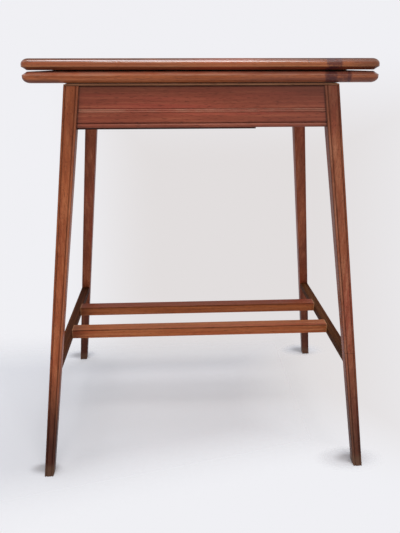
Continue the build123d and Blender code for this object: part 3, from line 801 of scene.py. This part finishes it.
def bar_outline(wide, high, r, line=None):
    """A rectangle with softened arrises, centred on its width, standing on zero.

    line is how far below the top both faces have two more points close together.
    """
    half = wide / 2
    extra = [high - line - RAIL_LINE_RIM, high - line] if line else []
    points = arc(half - r, r, r, -90, 0, 4) + [(half, b) for b in extra]
    points += arc(half - r, high - r, r, 0, 90, 4) + arc(r - half, high - r, r, 90, 180, 4)
    points += [(-half, b) for b in extra[::-1]] + arc(r - half, r, r, 180, 270, 4)
    return points


def make_stretchers():
    low = STRETCHER_TOP - STRETCHER_THICK
    middle = low + STRETCHER_THICK / 2
    centre = leg_x(middle) - leg_side(middle) / 2
    for end, side in (("left", -1), ("right", 1)):
        rings = []
        for t in steps(-1, 1, STRETCHER_STEPS):
            ring = []
            for a, b in bar_outline(STRETCHER_WIDE, STRETCHER_THICK, STRETCHER_SOFT):
                z = low + b
                y = t * (leg_y(z) - leg_side(z))
                wander = noise.noise(Vector((a * 0.1, y * 0.015, side * 9.0))) * BAR_WANDER
                ring.append((side * (centre + a) - wander * 0.5, y, z))
            rings.append(ring)
        node = f"side_stretcher_{end}"
        solid(f"{node}_wood", rings, "frame", [node], materials[f"rail_{end}"])
    inner = centre - STRETCHER_WIDE / 2
    section = bar_outline(RAIL_WIDE, RAIL_HIGH, CROSS_RAIL_SOFT, RAIL_LINE)
    line_high = RAIL_HIGH - RAIL_LINE_PLAY
    lined = [line_high - RAIL_LINE < b < line_high for _, b in section]
    for end, side in (("front", -1), ("back", 1)):
        rings = []
        for x in steps(-inner, inner, CROSS_RAIL_STEPS):
            ring = []
            for a, b in section:
                wander = noise.noise(Vector((x * 0.012, a * 0.1, side * 5.0 + b))) * BAR_WANDER
                sunk = abs(wander) if b > RAIL_HIGH / 2 else 0
                ring.append((x, side * RAIL_Y + a, low + RAIL_STEP + b - sunk))
            rings.append(ring)
        marks = [[(RAIL_LINE_DIRT if dark else 0.0, 0.0) for dark in lined]] * len(rings)
        node = f"cross_rail_{end}"
        solid(f"{node}_wood", rings, "frame", [node], materials["rail_x"], marks)


# Capping and glide felt

# The outer arris of a strip, and the darkening on its lower inner half
STRIP_ARRIS = 0.05
STRIP_DARKENING = 0.9
STRIP_STEPS = 24
CAPPING_SOFT = 0.8
FELT_SOFT = 0.5


def strip(name, node, end, low, thick, out, wide, soft, material):
    """One mitred strip of the ring on top of the frame."""
    out_x, out_y = out
    along_x = end in ("front", "back")
    far, span = (out_y, out_x) if along_x else (out_x, out_y)
    sign = -1 if end in ("front", "left") else 1
    # Both rounds on the outer edge have to leave a little flat between them
    r = min(soft, thick / 2.01)
    section = arc(wide - STRIP_ARRIS, STRIP_ARRIS, STRIP_ARRIS, -90, 0, 1) + [(wide, thick)]
    section += arc(r, thick - r, r, 90, 180, 4) + arc(r, r, r, 180, 270, 4)
    marks = [(STRIP_DARKENING if a < wide / 2 and b < r + 0.01 else 0.0, 0.0) for a, b in section]
    rings = []
    for t in steps(-1, 1, STRIP_STEPS):
        ring = []
        for a, b in section:
            length = t * (span - a)
            away = sign * (far - a)
            ring.append((length, away, low + b) if along_x else (away, length, low + b))
        rings.append(ring)
    return solid(name, rings, "frame", [node], material, [marks] * len(rings))


def make_capping():
    ring = (HEAD_X - CAPPING_SETBACK, HEAD_Y - CAPPING_SETBACK)
    felt_in = (CAPPING_WIDE - FELT_WIDE) / 2
    felt_ring = (ring[0] - felt_in, ring[1] - felt_in)
    for end in ("front", "back", "left", "right"):
        look = "capping_x" if end in ("front", "back") else "capping_y"
        strip(f"capping_{end}_wood", f"capping_{end}", end, FRAME_HIGH, CAPPING_THICK,
              ring, CAPPING_WIDE, CAPPING_SOFT, materials[look])
        felt = strip(f"glide_{end}_felt", f"glide_felt_{end}", end, FRAME_HIGH + CAPPING_THICK, FELT_THICK,
                     felt_ring, FELT_WIDE, FELT_SOFT, materials["felt"])


# Leaves

# Steps of a leaf's plan: along its ends and its front, and round its front and back corners
END_STEPS = 22
FRONT_STEPS = 44
CORNER_STEPS = 10
BACK_CORNER_STEPS = 4
BACK_RADIUS = 0.01
SMALLEST_CORNER = 2.0
BED_DIRT = 0.5
BEVEL_STEPS = 8
BEVEL_HOLLOW = 0.35
ROUND_STEPS = 16
# The steps of the round between which a pale band is worn, partly as painted highlight, with the dirt
# beside it
BAND_STEPS = (4, 8)
BAND_DIRT = 0.45
# How far from the leaf's rim its faces wander, and by how much
RIM_WIDE = 14
RIM_WANDER = 0.12
# How far a cutter reaches past the face that it cuts
OVERRUN = 5


def plan(inset, back, radius, z, back_radius=BACK_RADIUS):
    """A ring round the leaf's plan: inset on the front and both ends, back gives its back edge."""
    half = TOP_X - inset
    front = -TOP_Y + inset
    turn = front + radius
    back_turn = back - back_radius
    points = [(-half, y) for y in steps(back_turn, turn, END_STEPS)]
    points += arc(-half + radius, turn, radius, 180, 270, CORNER_STEPS)[1:-1]
    points += [(x, front) for x in steps(-half + radius, half - radius, FRONT_STEPS)]
    points += arc(half - radius, turn, radius, -90, 0, CORNER_STEPS)[1:-1]
    points += [(half, y) for y in steps(turn, back_turn, END_STEPS)]
    points += arc(half - back_radius, back_turn, back_radius, 0, 90, BACK_CORNER_STEPS)[1:-1]
    points += [(x, back) for x in steps(half - back_radius, -half + back_radius, FRONT_STEPS)]
    points += arc(-half + back_radius, back_turn, back_radius, 90, 180, BACK_CORNER_STEPS)[1:-1]
    return [(x, y, z) for x, y in points]


def leaf_profile(band, arris, bevel, rim):
    """(inset, height above the inner face, how dirty, how worn) from the inner face outward, painted shade
    and highlights included.

    band and arris are how worn the middle of the round and the edge of the bevel are, the band partly
    as painted highlight; bevel is (how dirty, how worn) of the bevel, carrying painted shade and painted
    highlight too, and rim is (first step, how dirty) of the outer part of the round, partly painted shade.
    """
    first, rim_dirt_and_shade = rim
    slope = math.atan2(BEVEL_HIGH, BEVEL_DEEP)
    rows = [(BEVEL_DEEP + 2.0, 0.0, bevel[0], 0.0), (BEVEL_DEEP + 0.25, 0.05, bevel[0], 0.4)]
    for i in range(1, BEVEL_STEPS):
        share = i / BEVEL_STEPS
        sag = BEVEL_HOLLOW * math.sin(math.pi * share)
        height = BEVEL_HIGH * share + sag * math.cos(slope)
        inset = BEVEL_DEEP * (1 - share) + sag * math.sin(slope)
        rows.append((inset, height, *bevel))
    rows += [(0.5, BEVEL_HIGH - 0.1, 0.0, arris / 2), (0.15, BEVEL_HIGH + 0.2, 0.0, arris)]
    rows += [(0.0, BEVEL_HIGH + 0.6, 0.0, arris * 0.7), (0.0, BEVEL_HIGH + 1.6, 0.0, arris * 0.1)]
    start = LEAF_THICK - ROUND_HIGH
    for i in range(ROUND_STEPS + 1):
        a = math.radians(90 * i / ROUND_STEPS)
        height = start + ROUND_HIGH * math.sin(a)
        inset = ROUND_DEEP * (1 - math.cos(a))
        fading = min(1.0, (ROUND_STEPS + 1 - i) / 5)
        dirt_and_shade = rim_dirt_and_shade * fading if i > first else 0.0
        rubbed_and_highlight = 0.0
        if band and BAND_STEPS[0] < i < BAND_STEPS[1]:
            dirt_and_shade, rubbed_and_highlight = BAND_DIRT, band
        rows.append((inset, height, dirt_and_shade, rubbed_and_highlight))
    rows.append((ROUND_DEEP + 3.0, LEAF_THICK, 0.1, 0.0))
    return rows


def back_inset(h):
    """How far the back edge stands in at a height above the inner face."""
    if h < INNER_CORNER:
        return INNER_CORNER - math.sqrt(max(0.0, INNER_CORNER**2 - (INNER_CORNER - h) ** 2))
    if h > LEAF_THICK - ARRIS:
        rise = h - (LEAF_THICK - ARRIS)
        return ARRIS - math.sqrt(max(0.0, ARRIS**2 - rise**2))
    return 0.0


def make_leaf(name, node, body, base, up, material, seed, wear_and_highlight):
    """A leaf from its inner face at base, growing up or down, with the bed of its baize."""
    rings = []
    bed_back = TOP_Y - BAIZE_BACK_BORDER
    for height in (BAIZE_RECESS, 0.0):
        rings.append(plan(BAIZE_BORDER, bed_back, BAIZE_CORNER, base + up * height, BAIZE_CORNER))
    marks = [[(BED_DIRT, 0.0)] * len(rings[0])] * 2
    for inset, h, dirt_and_shade, rubbed_and_highlight in leaf_profile(*wear_and_highlight):
        radius = max(CORNER_RADIUS - inset, SMALLEST_CORNER)
        back = TOP_Y - back_inset(h) - max(0.0, inset - ROUND_DEEP)
        rings.append(plan(inset, back, radius, base + up * h))
        marks.append([(dirt_and_shade, rubbed_and_highlight)] * len(rings[0]))
    worn = []
    for ring in rings:
        moved = []
        for x, y, z in ring:
            edge = max(0.0, 1 - (TOP_X - abs(x)) / RIM_WIDE, 1 - (y + TOP_Y) / RIM_WIDE)
            dip = abs(noise.noise(Vector((x * 0.02 + seed, y * 0.02, z * 0.3)))) * RIM_WANDER * edge
            x -= math.copysign(dip, x) if TOP_X - abs(x) < RIM_WIDE else 0
            y += dip if y + TOP_Y < RIM_WIDE else 0
            moved.append((x, y, z))
        worn.append(moved)
    return solid(name, worn, body, [node], material, marks)


def cut(obj, boxes):
    """Cuts boxes, given as (low corner, high corner) in millimetres, out of a piece."""
    mesh = bpy.data.meshes.new("cutter")
    bm = bmesh.new()
    for low, high in boxes:
        size = Vector(high) - Vector(low)
        centre = (Vector(high) + Vector(low)) / 2
        placed = Matrix.Translation(centre * MM) @ Matrix.Diagonal((*(size * MM), 1.0))
        bmesh.ops.create_cube(bm, size=1.0, matrix=placed)
    bm.to_mesh(mesh)
    bm.free()
    cutter = bpy.data.objects.new("cutter", mesh)
    bpy.context.scene.collection.objects.link(cutter)
    modifier = obj.modifiers.new("pockets", "BOOLEAN")
    modifier.operation = "DIFFERENCE"
    modifier.solver = "EXACT"
    modifier.use_self = True
    modifier.object = cutter
    graph = bpy.context.evaluated_depsgraph_get()
    others = [m for m in obj.modifiers if m != modifier]
    for m in others:
        m.show_viewport = False
    graph.update()
    made = bpy.data.meshes.new_from_object(obj.evaluated_get(graph))
    obj.modifiers.remove(modifier)
    for m in others:
        m.show_viewport = True
    obj.data = made
    made.set_sharp_from_angle(angle=SHARP_ANGLE)
    bpy.data.objects.remove(cutter)


def hinge_pockets(base, up):
    """The beds of both hinges in a leaf whose inner face is at base."""
    boxes = []
    front = HINGE_PIN_Y - HINGE_LONG
    knuckle_front = HINGE_PIN_Y - HINGE_KNUCKLE - HINGE_PLAY
    knuckle_deep = HINGE_PIN_DEEP + HINGE_KNUCKLE + HINGE_PLAY
    beds = ((front, HINGE_PIN_Y, HINGE_THICK), (knuckle_front, TOP_Y + OVERRUN, knuckle_deep))
    for side in (-1, 1):
        x0 = side * HINGE_X - HINGE_WIDE / 2
        x1 = side * HINGE_X + HINGE_WIDE / 2
        for y0, y1, deep in beds:
            ends = sorted((base + up * deep, base - up * OVERRUN))
            boxes.append(((x0, y0, ends[0]), (x1, y1, ends[1])))
    return boxes


def make_top():
    # Upper leaf: a pale band on the round, partly painted highlight, and the bevel darkened as painted
    # shade
    upper = make_leaf("upper_leaf_wood", "upper_leaf", "upper_leaf", UPPER_LOW, 1,
                      materials["leaf_upper"], 2.0, (0.58, 0.12, (0.40, 0.0), (8, 0.9)))
    cut(upper, hinge_pockets(UPPER_LOW, 1))
    # Lower leaf: the bevel lightened as painted highlight, and the round darkened as painted shade from
    # step 5
    lower = make_leaf("lower_leaf_wood", "lower_leaf", "top", LEAF_HIGH, -1,
                      materials["leaf_lower"], 6.0, (0.0, 1.0, (0.0, 0.9), (5, 0.27)))
    plate_low, plate_high = [tuple(v / MM for v in corner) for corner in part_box("pivot_plate")]
    plate = ((plate_low[0], plate_low[1], plate_low[2] - OVERRUN), plate_high)
    cut(lower, hinge_pockets(LEAF_HIGH, -1) + [plate])
    make_baize("lower_baize_cloth", "baize_lower", "top",
               LEAF_HIGH - BAIZE_RECESS, 1)
    make_baize("upper_baize_cloth", "baize_upper", "upper_leaf",
               UPPER_LOW + BAIZE_RECESS, -1)


def make_baize(name, node, body, base, up):
    """A baize panel glued into its bed, its edges rounded over a little."""
    back = TOP_Y - BAIZE_BACK_BORDER
    rows = ((0.0, 0.0), (0.0, 0.8), (0.12, 1.1), (0.45, 1.33), (1.1, BAIZE_THICK))
    rings = [
        plan(BAIZE_BORDER + inset, back - inset, BAIZE_CORNER, base + up * h, BAIZE_CORNER)
        for inset, h in rows
    ]
    cloth_piece = solid(name, rings, body, [node], materials["baize"])


# CAD nodes that keep their shape


def dress_nodes():
    looks = {
        "pivot_bearer": "inner_y", "well_divider": "inner_y", "well_bottom_board": "board",
        "stop_block": "inner_y", "stop_peg": "inner_z", "thrust_washer": "leather",
        "well_board_screws": "steel", "pivot_plate": "steel", "pivot_plate_screws": "steel",
        "pivot_bolt": "steel", "pivot_washer": "steel", "pivot_nut": "steel",
        "hinge_screws_lower": "brass", "hinge_screws_upper": "brass",
        "hinge_pins_lower": "steel", "hinge_pins_upper": "steel",
    }
    for end in ("left", "right"):
        for part in ("hinge_plate_lower", "hinge_plate_upper", "hinge_link"):
            looks[f"{part}_{end}"] = "brass"
    for node, look in looks.items():
        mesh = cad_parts[node].data
        mesh.materials.clear()
        mesh.materials.append(materials[look])


# Studio

FLOOR_WIDE = 14
# Where the floor fades, each as its start and its full fade in metres: with the distance from the
# middle, behind the table, in front of it (on a line turned by FLOOR_SKEW) and to its right
FLOOR_AWAY = (0.32, 0.95)
FLOOR_BEHIND = (0.06, 0.40)
FLOOR_BEFORE = (-0.03, -0.30)
FLOOR_SKEW = 0.25
FLOOR_RIGHT = (-0.05, 0.38)
# How much of the fade there is everywhere
FLOOR_LIFT = 0.25
FLOOR_TONES = (colour(232, 233, 238), colour(238, 238, 242))
# Painted shade: the floor is a little darker to the left
FLOOR_DIM = colour(222, 223, 228)
FLOOR_LEFT = (-0.08, -0.28)
FLOOR_DIM_SHARE = 0.9
# The shade round each foot: a flat ellipse that is shifted to the left and back
FOOT_SHADE = colour(120, 112, 108)
FOOT_SHADE_SHARE = 0.42
FOOT_SHADE_LEFT = 0.012
FOOT_SHADE_BEHIND = 0.016
FOOT_SHADE_SQUEEZE = 1.8
FOOT_SHADE_SEEN = (0.010, 0.080)
FOOT_SHADE_DARK = (0.036, 0.010)


def make_floor():
    """A pale floor that the camera sees fade into the background away from the table."""
    bpy.ops.mesh.primitive_plane_add(size=FLOOR_WIDE)
    floor = bpy.context.active_object
    floor.name = "floor"
    g = Surface("pale_floor")
    x, y, _ = g.split()
    away = g.math("SQRT", g.math("ADD", g.times(x, x), g.times(y, y)))
    before = g.math("SUBTRACT", y, g.times(x, FLOOR_SKEW))
    fade = g.most(g.ramp(away, *FLOOR_AWAY), g.ramp(y, *FLOOR_BEHIND), FLOOR_LIFT,
                  g.ramp(before, *FLOOR_BEFORE), g.ramp(x, *FLOOR_RIGHT))
    squares = []
    for place, shift, end, squeeze in (
        (x, FOOT_SHADE_LEFT, FOOT_X, 1.0),
        (y, -FOOT_SHADE_BEHIND, FOOT_Y, FOOT_SHADE_SQUEEZE),
    ):
        middle = (end - FOOT_SIDE / 2) * MM
        gap = g.math("SUBTRACT", g.math("ABSOLUTE", g.math("ADD", place, shift)), middle)
        gap = g.times(gap, squeeze)
        squares.append(g.times(gap, gap))
    from_foot = g.math("SQRT", g.math("ADD", *squares))
    # That shade stays in sight where the floor has faded
    fade = g.math("MINIMUM", fade, g.ramp(from_foot, *FOOT_SHADE_SEEN))
    body = g.mix(g.noise((1.3, 1.3, 1.3), 3.0, 0.5), *FLOOR_TONES)
    body = g.tint(body, FLOOR_DIM, g.ramp(x, *FLOOR_LEFT), FLOOR_DIM_SHARE)
    body = g.tint(body, FOOT_SHADE, g.ramp(from_foot, *FOOT_SHADE_DARK), FOOT_SHADE_SHARE)
    g.link(body, "Base Color")
    g.set(Roughness=0.9, Specular_IOR_Level=0.1)
    clear = g.node("ShaderNodeBsdfTransparent").outputs[0]
    path = g.node("ShaderNodeLightPath").outputs["Is Camera Ray"]
    mixed = g.node("ShaderNodeMixShader", {0: g.times(fade, path), 1: g.shader.outputs[0], 2: clear})
    g.tree.links.new(mixed.outputs[0], g.tree.nodes["Material Output"].inputs["Surface"])
    floor.data.materials.append(g.material)


FILL = 0.45
FILL_COLOUR = (0.95, 0.97, 1.0, 1)
# The background is a little dimmer behind the table. These are the heights and places across, as
# parts of the view's direction, where it starts to get lighter and where it is lightest
SKY_DIM = colour(226, 222, 222)
SKY_LIGHT = colour(240, 240, 244)
SKY_ABOVE = (-0.17, 0.03)
SKY_BELOW = (-0.50, -0.64)
SKY_LEFT = (-0.02, -0.22)
SKY_RIGHT = (0.22, 0.56)


def make_world():
    """Near white for the camera and for reflections, and a soft even fill for everything else."""
    world = bpy.data.worlds.new("world")
    bpy.context.scene.world = world
    world.use_nodes = True
    world.node_tree.nodes.clear()
    g = Graph(world.node_tree)
    path = g.node("ShaderNodeLightPath").outputs
    shown = g.most(path["Is Camera Ray"], path["Is Glossy Ray"], path["Is Transmission Ray"])
    across, _, up = g.split("Generated")
    light = g.most(g.ramp(up, *SKY_ABOVE), g.ramp(up, *SKY_BELOW),
                   g.ramp(across, *SKY_LEFT), g.ramp(across, *SKY_RIGHT))
    fill = g.node("ShaderNodeBackground", {"Color": FILL_COLOUR, "Strength": FILL})
    back = g.node("ShaderNodeBackground", {"Color": g.mix(light, SKY_DIM, SKY_LIGHT), "Strength": 1.0})
    mixed = g.node("ShaderNodeMixShader", {0: shown, 1: fill.outputs[0], 2: back.outputs[0]})
    g.node("ShaderNodeOutputWorld", {"Surface": mixed.outputs[0]})


def make_lamp(name, at, target, size, power, tone):
    """A lamp at one place that faces another, in metres, with its width and height, watts and tone."""
    data = bpy.data.lights.new(name, "AREA")
    data.shape = "RECTANGLE"
    data.size, data.size_y = size
    data.energy = power
    data.color = tone
    lamp = bpy.data.objects.new(name, data)
    bpy.context.scene.collection.objects.link(lamp)
    lamp.location = at
    lamp.rotation_euler = (Vector(target) - Vector(at)).to_track_quat("-Z", "Y").to_euler()


make_legs()
make_rails()
make_stretchers()
make_capping()
make_top()
dress_nodes()
make_floor()
make_world()
make_lamp("key", at=(0.2, -1.35, 2.9), target=(0, -0.1, 0.6), size=(1.3, 1.0),
          power=38, tone=(1.0, 0.97, 0.95))
make_lamp("overhead", at=(-0.15, 0.35, 3.2), target=(-0.05, 0.1, 0), size=(2.4, 1.0),
          power=34, tone=(0.90, 0.93, 1.0))

bpy.context.scene.view_settings.view_transform = "Standard"
